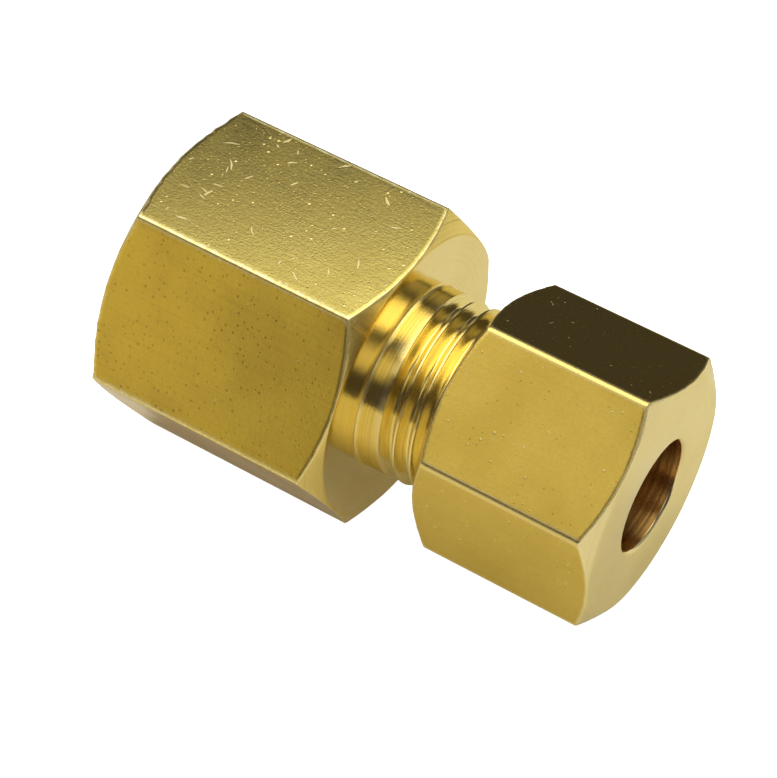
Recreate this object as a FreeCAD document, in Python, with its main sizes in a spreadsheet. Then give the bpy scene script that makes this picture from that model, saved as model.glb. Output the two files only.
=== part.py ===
import FreeCAD, Part

import os

import Sketcher

# A brass compression fitting that joins a 1/4 inch tube to a 1/4 inch male pipe end.
# It is three loose pieces: the hexagon connector body with its threaded neck, the
# hexagon compression nut that screws on the neck, and the tapered ferrule between them.
#
# All three are turned about the X axis. Each piece is drawn in its own frame, with
# x = 0 at its port-side end, and its Placement puts it in the common frame: origin on
# the axis at the shoulder where the tube stops, +X out along the tube, +Z up.

SIZES = [
    # connector body: hexagon
    ("body_flats", 17.4625, "hexagon across flats, 11/16 inch"),
    ("body_length", 15.43, "length of the hexagon bar"),
    ("body_face_radius", 8.65, "flat end face inside the corner chamfer"),
    ("chamfer_angle", 30.0, "angle of the hexagon corner chamfers"),
    # connector body: neck with the compression thread, 7/16-24 UNS
    ("neck_length", 8.0, "neck beyond the hexagon face"),
    ("thread_radius", 5.556, "outer radius of the compression thread"),
    ("root_radius", 4.906, "root radius of the neck thread"),
    ("thread_pitch", 1.0583, "24 threads to the inch"),
    ("groove_half_width", 0.463, "half the groove's width at the neck's outside"),
    ("collar_to_groove", 1.489, "hexagon face to the middle of the first groove"),
    # connector body: tube socket
    ("socket_radius", 3.2, "socket wall, for a 6.35 mm tube"),
    ("socket_depth", 7.0, "neck end to the tube stop"),
    ("seat_radius", 4.25, "mouth of the conical seat"),
    ("seat_angle", 30.0, "angle of the seat to the axis"),
    ("passage_radius", 2.4, "water way behind the tube stop"),
    # connector body: female port, 1/4-18 NPT
    ("port_depth", 12.2, "depth of the full bore"),
    ("port_drill_radius", 5.45, "plain wall past the thread"),
    ("port_crest_radius", 5.75, "thread crests at the port face"),
    ("port_root_radius", 6.8, "thread roots at the port face"),
    ("port_mouth_radius", 7.1, "countersink at the port face"),
    ("port_pitch", 1.4111, "18 threads to the inch"),
    ("port_groove_half", 0.64, "half the groove's width at its crests"),
    ("port_taper", 1.79, "taper of the pipe thread to the axis"),
    ("port_thread_start", 0.1, "port face to the middle of the first groove"),
    ("port_thread_length", 9.0, "run of the thread along the axis"),
    ("drill_point_angle", 59.0, "half angle of the drill point"),
    # compression nut
    ("nut_flats", 14.2875, "hexagon across flats, 9/16 inch"),
    ("nut_length", 11.16, "length of the nut"),
    ("nut_face_radius", 7.0, "flat end face inside the corner chamfer"),
    ("nut_turned", 36.2, "angle of the nut's first corner from +Y towards +Z"),
    ("nut_gap", 4.72, "hexagon face of the body to the nut"),
    ("nut_minor_radius", 4.982, "thread crests inside the nut"),
    ("nut_major_radius", 5.6, "thread roots inside the nut"),
    ("flank_play", 0.04, "play between the thread flanks, along the axis"),
    ("nut_thread_length", 6.4, "run of the nut's thread along the axis"),
    ("nut_hole_radius", 3.373, "clear hole for the tube, 17/64 inch drill"),
    ("nut_wall", 3.0, "length of the tube hole"),
    ("nut_hole_bevel", 0.25, "small bevel at the mouth of the tube hole"),
    # ferrule
    ("ferrule_length", 5.3, "length over both tapers"),
    ("ferrule_radius", 4.35, "outside of the ferrule"),
    ("ferrule_bore_radius", 3.2, "bore that slides on the tube"),
    ("ferrule_nose_radius", 3.55, "front face of the nose taper"),
    ("ferrule_back_radius", 3.75, "back face of the rear taper"),
    ("ferrule_play", 0.265, "travel from the drawn place to finger tight"),
    ("seat_gap", 0.05, "gap left at the seat when finger tight"),
    # overlap of the cutting profiles past the surface they cut
    ("overcut", 0.1, "how far a thread cutter stands past the crests"),
]

THREAD_SLOPE = "tan(30)"  # flanks of a 60 degree thread
TURNED_PLANE = "XY_Plane"  # half sections: X along the axis, Y is the radius
HEX_PLANE = "YZ_Plane"


def fill_sheet(sheet):
    """Write each driving dimension to the sheet with its alias and a note."""
    for row, (alias, value, note) in enumerate(SIZES, start=1):
        sheet.set(f"A{row}", alias)
        sheet.set(f"B{row}", str(value))
        sheet.set(f"C{row}", note)
        sheet.setAlias(f"B{row}", alias)


def new_body(doc, label):
    """A PartDesign body whose Label becomes the node's name."""
    body = doc.addObject("PartDesign::Body", label)
    body.Label = label
    return body


def place_along_axis(body, offset):
    """Slide a finished body along X by an expression."""
    body.setExpression("Placement.Base.x", offset)


def origin_plane(body, role):
    """One of the body's own three origin planes."""
    return next(item for item in body.Origin.OriginFeatures if item.Role == role)


def profile(body, name, role, corners):
    """A closed polygon whose corners are pairs of expressions in the sheet's sizes."""
    sketch = body.newObject("Sketcher::SketchObject", name)
    sketch.AttachmentSupport = [(origin_plane(body, role), "")]
    sketch.MapMode = "FlatFace"
    sheet = body.Document.dim
    points = [
        FreeCAD.Vector(sheet.evalExpression(across), sheet.evalExpression(up), 0)
        for across, up in corners
    ]
    count = len(points)
    for index, point in enumerate(points):
        sketch.addGeometry(Part.LineSegment(point, points[(index + 1) % count]), False)
    for index in range(count):
        sketch.addConstraint(
            Sketcher.Constraint("Coincident", index, 2, (index + 1) % count, 1)
        )
    for index, (across, up) in enumerate(corners):
        sizes = (("DistanceX", across, points[index].x), ("DistanceY", up, points[index].y))
        for kind, expression, value in sizes:
            number = sketch.addConstraint(Sketcher.Constraint(kind, -1, 1, index, 1, value))
            corner_name = f"{kind}_{index}"
            sketch.renameConstraint(number, corner_name)
            sketch.setExpression(f"Constraints.{corner_name}", expression)
    return sketch


def hexagon_bar(body, flats, turned, length):
    """A bar of hexagon stock along X, its first corner turned from +Y towards +Z."""
    corners = []
    for index in range(6):
        angle = f"({turned} + {60 * index})"
        radius = f"{flats} / 2 / cos(30)"
        corners.append((f"{radius} * cos({angle})", f"{radius} * sin({angle})"))
    bar = body.newObject("PartDesign::Pad", "HexagonBar")
    bar.Profile = profile(body, "HexagonSection", HEX_PLANE, corners)
    bar.setExpression("Length", length)
    return bar


def revolve(body, kind, name, corners):
    """Add (Revolution) or cut (Groove) a half section turned about the X axis."""
    turned = body.newObject(f"PartDesign::{kind}", name)
    section = profile(body, f"{name}Section", TURNED_PLANE, corners)
    turned.Profile = section
    turned.ReferenceAxis = (section, ["H_Axis"])
    turned.Angle = 360
    return turned


def chamfer_corners(body, flats, face_radius, length):
    """Turn the six corners back to a round end face, at both ends of the bar."""
    reach = f"({flats} / 2 / cos(30) + 1)"
    run = f"(({reach} - {face_radius}) * tan(dim.chamfer_angle))"
    revolve(
        body,
        "Groove",
        "PortSideChamfer",
        [("0", face_radius), ("0", reach), (run, reach)],
    )
    revolve(
        body,
        "Groove",
        "TubeSideChamfer",
        [(length, face_radius), (length, reach), (f"{length} - {run}", reach)],
    )


def cut_thread(body, name, start, half_widths, radii, sizes):
    """Cut a right-hand helical groove whose first turn starts at x = start.

    half_widths and radii are (at the crests, at the roots); sizes is (pitch, run, taper).
    """
    (wide, narrow), (crest, root) = half_widths, radii
    pitch, run, taper = sizes
    corners = [
        (f"{start} - ({narrow})", root),
        (f"{start} - ({wide})", crest),
        (f"{start} + ({wide})", crest),
        (f"{start} + ({narrow})", root),
    ]
    thread = body.newObject("PartDesign::SubtractiveHelix", name)
    section = profile(body, f"{name}Section", TURNED_PLANE, corners)
    thread.Profile = section
    thread.ReferenceAxis = (section, ["H_Axis"])
    thread.Mode = "pitch-height-angle"
    thread.setExpression("Pitch", pitch)
    thread.setExpression("Height", run)
    thread.setExpression("Angle", taper)
    return thread


def connector_body(doc):
    """Hexagon with a tapped port at one end and the threaded, seated neck at the other."""
    body = new_body(doc, "connector_body")
    hexagon_bar(body, "dim.body_flats", "0", "dim.body_length")
    chamfer_corners(body, "dim.body_flats", "dim.body_face_radius", "dim.body_length")

    neck_end = "(dim.body_length + dim.neck_length)"
    lead = "(dim.thread_radius - dim.root_radius)"
    overlap = "(dim.body_length - 1)"
    revolve(
        body,
        "Revolution",
        "Neck",
        [
            (overlap, "dim.passage_radius"),
            (neck_end, "dim.passage_radius"),
            (neck_end, "dim.root_radius"),
            (f"{neck_end} - {lead}", "dim.thread_radius"),
            (overlap, "dim.thread_radius"),
        ],
    )

    stop = f"({neck_end} - dim.socket_depth)"
    seat_run = "((dim.seat_radius - dim.socket_radius) / tan(dim.seat_angle))"
    mouth_run = "(dim.port_mouth_radius - dim.port_crest_radius)"
    taper_end = (
        "((dim.port_crest_radius - dim.port_drill_radius) / tan(dim.port_taper))"
    )
    point_run = (
        "((dim.port_drill_radius - dim.passage_radius) / tan(dim.drill_point_angle))"
    )
    mouth_crest = f"(dim.port_crest_radius - {mouth_run} * tan(dim.port_taper))"
    revolve(
        body,
        "Groove",
        "Bore",
        [
            ("0", "0"),
            ("0", "dim.port_mouth_radius"),
            (mouth_run, mouth_crest),
            (taper_end, "dim.port_drill_radius"),
            ("dim.port_depth", "dim.port_drill_radius"),
            (f"dim.port_depth + {point_run}", "dim.passage_radius"),
            (stop, "dim.passage_radius"),
            (stop, "dim.socket_radius"),
            (f"{neck_end} - {seat_run}", "dim.socket_radius"),
            (neck_end, "dim.seat_radius"),
            (neck_end, "0"),
        ],
    )

    crest_reach = "(dim.thread_radius + dim.overcut)"
    cut_thread(
        body,
        "NeckThread",
        "(dim.body_length + dim.collar_to_groove)",
        (
            f"dim.groove_half_width + dim.overcut * {THREAD_SLOPE}",
            f"dim.groove_half_width - {lead} * {THREAD_SLOPE}",
        ),
        (crest_reach, "dim.root_radius"),
        (
            "dim.thread_pitch",
            "dim.neck_length - dim.collar_to_groove + 0.7",
            "0",
        ),
    )

    port_height = "(dim.port_root_radius - dim.port_crest_radius)"
    port_overcut = "dim.overcut / 2"
    cut_thread(
        body,
        "PortThread",
        "dim.port_thread_start",
        (
            f"dim.port_groove_half + {port_overcut} * {THREAD_SLOPE}",
            f"dim.port_groove_half - {port_height} * {THREAD_SLOPE}",
        ),
        (f"dim.port_crest_radius - {port_overcut}", "dim.port_root_radius"),
        ("dim.port_pitch", "dim.port_thread_length", "-dim.port_taper"),
    )
    place_along_axis(body, f"-{stop}")
    return body


def compression_nut(doc):
    """Hexagon nut with its thread at the neck side and a coned shoulder at the tube side."""
    body = new_body(doc, "compression_nut")
    hexagon_bar(body, "dim.nut_flats", "dim.nut_turned", "dim.nut_length")
    chamfer_corners(body, "dim.nut_flats", "dim.nut_face_radius", "dim.nut_length")

    mouth_radius = "(dim.nut_major_radius + 0.2)"
    mouth_run = f"({mouth_radius} - dim.nut_minor_radius)"
    shoulder = "(dim.nut_length - dim.nut_wall)"
    cone_run = "(dim.nut_minor_radius - dim.nut_hole_radius)"
    revolve(
        body,
        "Groove",
        "Bore",
        [
            ("0", "0"),
            ("0", mouth_radius),
            (mouth_run, "dim.nut_minor_radius"),
            (f"{shoulder} - {cone_run}", "dim.nut_minor_radius"),
            (shoulder, "dim.nut_hole_radius"),
            ("dim.nut_length - dim.nut_hole_bevel", "dim.nut_hole_radius"),
            ("dim.nut_length", "dim.nut_hole_radius + dim.nut_hole_bevel"),
            ("dim.nut_length", "0"),
        ],
    )

    # The nut's ridges run in the middle of the neck's grooves.
    crest_half = "(dim.thread_pitch * 3 / 8 + dim.flank_play)"
    height = "(dim.nut_major_radius - dim.nut_minor_radius)"
    cut_thread(
        body,
        "NutThread",
        "(dim.collar_to_groove + 2.5 * dim.thread_pitch - dim.nut_gap)",
        (
            f"{crest_half} + dim.overcut * {THREAD_SLOPE}",
            f"{crest_half} - {height} * {THREAD_SLOPE}",
        ),
        ("dim.nut_minor_radius - dim.overcut", "dim.nut_major_radius"),
        ("dim.thread_pitch", "dim.nut_thread_length", "0"),
    )
    place_along_axis(body, "dim.nut_gap - dim.neck_length + dim.socket_depth")
    return body


def ferrule(doc):
    """Soft brass sleeve with a long nose taper and a short taper at the back."""
    body = new_body(doc, "ferrule")
    nose_run = "((dim.ferrule_radius - dim.ferrule_nose_radius) / tan(dim.seat_angle))"
    back_run = "(dim.ferrule_radius - dim.ferrule_back_radius)"
    revolve(
        body,
        "Revolution",
        "Sleeve",
        [
            ("0", "dim.ferrule_bore_radius"),
            ("0", "dim.ferrule_nose_radius"),
            (nose_run, "dim.ferrule_radius"),
            (f"dim.ferrule_length - {back_run}", "dim.ferrule_radius"),
            ("dim.ferrule_length", "dim.ferrule_back_radius"),
            ("dim.ferrule_length", "dim.ferrule_bore_radius"),
        ],
    )
    # The nose lies on the seat where the seat is as wide as the nose's front face.
    seat_to_nose = (
        "(dim.seat_radius - dim.ferrule_nose_radius) / tan(dim.seat_angle)"
    )
    place_along_axis(
        body,
        f"dim.socket_depth - {seat_to_nose} + dim.seat_gap + dim.ferrule_play",
    )
    return body


def check(doc, pieces):
    """Stop before anything is written if a feature or a piece has failed."""
    for item in doc.Objects:
        if "Invalid" in item.State or "Error" in item.State:
            raise RuntimeError(f"{item.Name} did not compute: {item.State}")
    for piece in pieces:
        if piece.Shape.isNull() or not piece.Shape.isValid():
            raise RuntimeError(f"{piece.Label} has no valid shape")
        if len(piece.Shape.Solids) != 1:
            raise RuntimeError(f"{piece.Label} is not one solid")


def check_cuts(pieces):
    """Stop if a groove or thread took nothing away from the feature before it."""
    for piece in pieces:
        before = None
        for feature in piece.Group:
            if feature.isDerivedFrom("PartDesign::Feature"):
                cuts = feature.TypeId in ("PartDesign::Groove", "PartDesign::SubtractiveHelix")
                if cuts and before and feature.Shape.Volume >= before:
                    raise RuntimeError(f"{feature.Name} cuts nothing")
                before = feature.Shape.Volume


def main():
    doc = FreeCAD.newDocument("compression_fitting")
    sheet = doc.addObject("Spreadsheet::Sheet", "dim")
    fill_sheet(sheet)
    doc.recompute()
    pieces = [connector_body(doc), compression_nut(doc), ferrule(doc)]
    doc.recompute()
    check(doc, pieces)
    check_cuts(pieces)
    os.makedirs("parts", exist_ok=True)
    for piece in pieces:
        piece.Shape.exportStep(f"parts/{piece.Label}.step")
        box = piece.Shape.BoundBox
        print(
            f"{piece.Label}: {piece.Shape.Volume:.1f} mm3,"
            f" x {box.XMin:.2f} to {box.XMax:.2f}, z {box.ZMin:.2f} to {box.ZMax:.2f}"
        )


main()
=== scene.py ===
# %% [markdown]
# # A brass compression fitting
#
# The fitting joins a small tube to a pipe thread. It is three pieces of brass: a connector body turned
# from hexagon bar, a nut that screws on the body's neck, and a soft ferrule that hides inside the nut.
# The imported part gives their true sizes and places. This script makes the pieces again with rounded
# edges, real threads and the finish of drawn and turned brass, and lights them softly on a pale floor.

import math
import random
from functools import partial
from typing import NamedTuple

import bmesh
import bpy
import numpy as np
from mathutils import Matrix, Vector


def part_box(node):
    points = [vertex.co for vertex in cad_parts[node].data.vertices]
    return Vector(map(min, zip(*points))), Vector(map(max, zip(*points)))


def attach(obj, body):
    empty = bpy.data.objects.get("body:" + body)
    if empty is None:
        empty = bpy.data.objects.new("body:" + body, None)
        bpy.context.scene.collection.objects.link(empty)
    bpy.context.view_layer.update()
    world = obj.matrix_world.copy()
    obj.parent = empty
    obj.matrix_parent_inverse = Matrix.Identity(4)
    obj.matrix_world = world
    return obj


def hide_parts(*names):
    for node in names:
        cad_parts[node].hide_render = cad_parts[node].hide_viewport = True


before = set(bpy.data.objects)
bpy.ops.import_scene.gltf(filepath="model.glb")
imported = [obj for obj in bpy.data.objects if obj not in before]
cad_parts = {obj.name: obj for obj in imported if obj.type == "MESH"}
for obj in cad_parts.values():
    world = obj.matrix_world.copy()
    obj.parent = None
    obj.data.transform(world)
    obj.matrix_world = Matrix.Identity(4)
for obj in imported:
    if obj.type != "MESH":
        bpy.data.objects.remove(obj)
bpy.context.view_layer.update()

# %% [markdown]
# ## Sizes
#
# Everything is in metres in the part's own frame: X runs along the tube, Z points up out of one flat,
# and the origin is where the tube stops inside the neck. The ends of each piece come from the packed
# part, so the looks stay on it. The other sizes are written in millimetres, as on a maker's drawing.

# %% Sizes of the three pieces
MM = 0.001
PITCH = 1.0583 * MM
COLUMNS = 192
SIDE = COLUMNS // 6
ARC_STEPS = 3
FLAT_STEPS = SIDE - 2 * ARC_STEPS
THIRTY = math.radians(30)

body_low, body_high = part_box("connector_body")
nut_low, nut_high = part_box("compression_nut")
sleeve_low, sleeve_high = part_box("ferrule")

PORT_FACE = body_low.x
NECK_END = body_high.x
HEX_FACE = PORT_FACE + 15.43 * MM
NUT_MOUTH = nut_low.x
NUT_END = nut_high.x

BODY_HEX = {
    "flats": 17.4625 * MM, "turned": 0.0, "round": 0.24 * MM,
    "face": 8.65 * MM, "inner": 8.2 * MM,
    "face_edge": 0.06 * MM, "flat_edge": 0.035 * MM, "burr": (0.045 * MM, 0.015 * MM), "seed": 4,
}
NUT_HEX = {
    "flats": 14.2875 * MM, "turned": math.radians(36.2), "round": 0.38 * MM,
    "face": 7.0 * MM, "inner": 6.6 * MM,
    "face_edge": 0.15 * MM, "flat_edge": 0.05 * MM, "burr": (0.02 * MM, 0.015 * MM), "seed": 9,
}
for title, start, end in (("body", PORT_FACE, NECK_END), ("nut", NUT_MOUTH, NUT_END)):
    print(f"{title} from {start / MM:.2f} to {end / MM:.2f} mm")

# %% [markdown]
# ## Hexagon bar as a ring of columns
#
# Hexagon bar is drawn through a die, so its corners are a little round. A cylinder primitive with six
# sides would have dead sharp corners. Here the outline is a closed ring of columns instead: a few round
# each corner and the rest spaced along the flat. Every later step follows the same columns.

# %% The outline of a hexagon bar
def bar_outline(bar):
    """Polar angle and radius of each column, starting at the middle of a corner."""
    corner = bar["flats"] / 2 / math.cos(THIRTY)
    centre = corner - bar["round"] / math.cos(THIRTY)
    next_corner = Matrix.Rotation(2 * THIRTY, 2)
    arc = []
    for step in range(-ARC_STEPS, ARC_STEPS + 1):
        angle = THIRTY * step / ARC_STEPS
        arc.append(Vector((centre + bar["round"] * math.cos(angle), bar["round"] * math.sin(angle))))
    flat_end = next_corner @ arc[0]
    points = []
    for side in range(6):
        turn = Matrix.Rotation(math.radians(60 * side), 2)
        points += [turn @ p for p in arc[ARC_STEPS:]]
        points += [turn @ arc[-1].lerp(flat_end, step / FLAT_STEPS) for step in range(1, FLAT_STEPS)]
        points += [turn @ next_corner @ p for p in arc[:ARC_STEPS]]
    angles = [math.atan2(p.y, p.x) % (2 * math.pi) for p in points]
    return np.unwrap(angles) + bar["turned"], np.array([p.length for p in points])


def even_angles(start):
    """Polar angle of each column of a turned ring."""
    return start + np.arange(COLUMNS) * 2 * math.pi / COLUMNS


body_angles, body_radii = bar_outline(BODY_HEX)
nut_angles, nut_radii = bar_outline(NUT_HEX)
print(f"body corners at {body_radii.max() / MM:.2f} mm, nut corners at {nut_radii.max() / MM:.2f} mm")

# %% [markdown]
# ## From rings to a skin
#
# Both ends of each hexagon are chamfered on the lathe by a cone, and a cone cuts a flat in the curved
# line that every nut shows. A boolean would leave long thin faces there. Instead each column works out
# for itself how far along the bar the cone reaches its own radius, and every edge gets three points
# in place of one, so that it catches the light as a real edge does.

# %% Softened edges
EDGE_ARC = (0.0, 0.5, 1.0)
ARC_LIMIT = 0.45


def soften(points, sizes):
    """Each inner point of a column's profile with a size becomes three points of a small arc.
    The arc takes no more than ARC_LIMIT of the line on either side."""
    result = [points[0]]
    for before, here, after, size in zip(points, points[1:], points[2:], sizes):
        if not size:
            result.append(here)
            continue
        into, out = (
            (side - here).normalized() * min(size, (side - here).length * ARC_LIMIT)
            for side in (before, after)
        )
        for t in EDGE_ARC:
            result.append(here + into * (1 - t) ** 2 + out * t**2)
    return result + [points[-1]]


print("a softened edge has", len(EDGE_ARC), "points")

# %% The chamfered hexagon
EDGE_ROWS = (5, 6, 7, 10, 11, 12)
FLAT_ROWS = (6, 7, 8, 9, 10)
FACE_ROWS = (0, 16, 17)
EDGE_BAND = 0.25 * MM
BAND_LIMIT = 0.5


def chamfered_profile(bar, ends, radius, cuts):
    """One column's profile over the bar, from one end face to the other. A band stands on both
    sides of each chamfer's edge, so that its finish stays narrow."""
    low_face, high_face = Vector((ends[0], bar["face"])), Vector((ends[1], bar["face"]))
    low_edge, high_edge = Vector((ends[0] + cuts[0], radius)), Vector((ends[1] - cuts[1], radius))
    band = Vector((EDGE_BAND, 0))
    on_chamfers = [
        edge.lerp(face, min(BAND_LIMIT, EDGE_BAND / (face - edge).length))
        for edge, face in ((low_edge, low_face), (high_edge, high_face))
    ]
    return [
        Vector((ends[0], bar["inner"])), low_face, on_chamfers[0], low_edge, low_edge + band,
        high_edge - band, high_edge, on_chamfers[1], high_face, Vector((ends[1], bar["inner"])),
    ]


def chamfered_rings(bar, columns, ends, finish):
    """Rings over one hexagon, from one end face round to the other. Each ring is (angles, x and
    radius of each column, finish of each face up to the next ring, how far a column is an edge)."""
    angles, radii = columns
    draw = random.Random(bar["seed"])
    sizes = [bar["face_edge"], 0.0, bar["flat_edge"], 0.0]
    profiles = []
    for radius in radii:
        cone = (radius - bar["face"]) * math.tan(THIRTY)
        cuts = [max(0.0, cone + draw.uniform(-burr, burr)) for burr in bar["burr"]]
        profiles.append(soften(chamfered_profile(bar, ends, radius, cuts), sizes + sizes[::-1]))
    table = np.array(profiles)
    corner = np.array([min(c % SIDE, -c % SIDE) <= ARC_STEPS for c in range(COLUMNS)])
    rings = []
    for row in range(table.shape[1]):
        painted = [finish(row, column) for column in range(COLUMNS)]
        on_flat = min(EDGE_ROWS) < row < max(EDGE_ROWS)
        # An edge value of 1 on chamfer edges and rounded corners brings both edge wear and the painted
        # edge highlight.
        worn = np.ones(COLUMNS) if row in EDGE_ROWS else corner * float(on_flat)
        rings.append((angles, table[:, row, 0], table[:, row, 1], painted, worn))
    return rings


print("rows on the flats:", FLAT_ROWS, "rows on the end faces:", FACE_ROWS)


# %% Turned surfaces
def turned_rings(angles, profile, finish, edge=0.0):
    """Rings of a turned surface from its (x, radius) profile, its inner edges softened."""
    points = [Vector(p) for p in profile]
    if edge:
        points = soften(points, [edge] * (len(points) - 2))
    return [
        (angles, np.full(COLUMNS, p.x), np.full(COLUMNS, p.y), [finish] * COLUMNS, np.zeros(COLUMNS))
        for p in points
    ]


print("a turned ring has", COLUMNS, "columns")


# %% The skin mesh
def skin(name, strips):
    """One mesh from strips of rings, each ring joined to the next one in its strip."""
    verts, faces, finishes, edges = [], [], [], []
    for strip in strips:
        for number, (angles, x, radius, painted, worn) in enumerate(strip):
            low = len(verts)
            edges += worn.tolist()
            high = low + COLUMNS
            verts += np.stack([x, radius * np.cos(angles), radius * np.sin(angles)], axis=1).tolist()
            if number == len(strip) - 1:
                break
            for column in range(COLUMNS):
                follow = (column + 1) % COLUMNS
                faces.append((low + column, low + follow, high + follow, high + column))
                finishes.append(painted[column])
    mesh = bpy.data.meshes.new(name)
    mesh.from_pydata(verts, [], faces)
    mesh.polygons.foreach_set("material_index", finishes)
    mesh.attributes.new("edge", "FLOAT", "POINT").data.foreach_set("value", edges)
    print(f"{name}: {len(faces)} faces")
    return mesh


# %% [markdown]
# ## One tree for every thread
#
# A thread follows a rule: the same ridge again and again, carried along the axis by one pitch in each
# turn. That is work for Geometry Nodes. A flat grid is rolled into a tube whose rows climb with the
# helix, so the crest and the flanks follow clean rows of faces, and the radius comes from how far a row
# is from the middle of its groove. Three threads use the tree with their own sizes: the neck outside,
# and the nut and the pipe port inside. The ends run out to plain circles, where the skin joins on.

# %% Small helpers for objects and node trees
def placed(name, data):
    """A new object for some data, in the scene."""
    made = bpy.data.objects.new(name, data)
    bpy.context.scene.collection.objects.link(made)
    return made


def empty_nodes(owner):
    """The node tree of a material or world, with nothing in it."""
    owner.use_nodes = True
    owner.node_tree.nodes.clear()
    return owner.node_tree


def add(tree, kind, inputs=None, **settings):
    """A node with its settings made and its inputs set or linked."""
    node = tree.nodes.new(kind)
    for key, value in settings.items():
        setattr(node, key, value)
    for key, value in (inputs or {}).items():
        socket = node.inputs[key]
        if isinstance(value, bpy.types.NodeSocket):
            tree.links.new(value, socket)
        else:
            socket.default_value = value
    return node


def calc(tree, operation, *values):
    """A Math node's result."""
    return add(tree, "ShaderNodeMath", dict(enumerate(values)), operation=operation).outputs[0]


def smooth(tree, value, low, high):
    """0 below low and 1 above high, with a soft rise between. Low may also be the larger one."""
    limits = {"Value": value, "From Min": low, "From Max": high}
    return add(tree, "ShaderNodeMapRange", limits, interpolation_type="SMOOTHSTEP").outputs[0]


def stretch(tree, value, low, high, top=1.0):
    """0 below low and top above high, with a straight rise between."""
    limits = {"Value": value, "From Min": low, "From Max": high, "To Max": top}
    return add(tree, "ShaderNodeMapRange", limits).outputs[0]


def numbers(**defaults):
    """Inputs for new_tree that are plain numbers; an underscore stands for a space."""
    return [(title.replace("_", " "), "NodeSocketFloat", value) for title, value in defaults.items()]


def new_tree(name, kind, inputs, outputs):
    """A node group with named inputs (name, type, default) and outputs (name, type)."""
    tree = bpy.data.node_groups.new(name, kind)
    for title, socket_type, default in inputs:
        socket = tree.interface.new_socket(title, in_out="INPUT", socket_type=socket_type)
        if default is not None:
            socket.default_value = default
    for title, socket_type in outputs:
        tree.interface.new_socket(title, in_out="OUTPUT", socket_type=socket_type)
    return tree, tree.nodes.new("NodeGroupInput"), tree.nodes.new("NodeGroupOutput")


def shown(tree):
    """Tells how large a finished node group is, and hands it on."""
    print(tree.name, "has", len(tree.nodes), "nodes")
    return tree


print("helpers:", [helper.__name__ for helper in (placed, add, calc, smooth, stretch)])

# %% The thread tree
WHOLE_TURN = 2 * math.pi
ROOT_ROUND = 0.3
CREST_ROUND = 0.08
THREAD_INPUTS = [
    ("Columns", "NodeSocketInt", COLUMNS),
    ("Rows per turn", "NodeSocketInt", 16),
    ("Turns", "NodeSocketInt", 8),
    *numbers(
        Pitch=PITCH, Start_angle=0.0, Groove_middle=0.0, Low_end=0.0, High_end=10 * MM,
        Crest_radius=5 * MM, Groove_depth=0.6 * MM, Half_width_at_crest=0.4 * MM,
        Half_width_at_floor=0.1 * MM, Taper=0.0, No_groove_at=0.0, Full_groove_at=1 * MM,
        Mouth_at=0.0, Mouth_radius=6 * MM, Side=1.0,
    ),
    ("Material", "NodeSocketMaterial", None),
]


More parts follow.
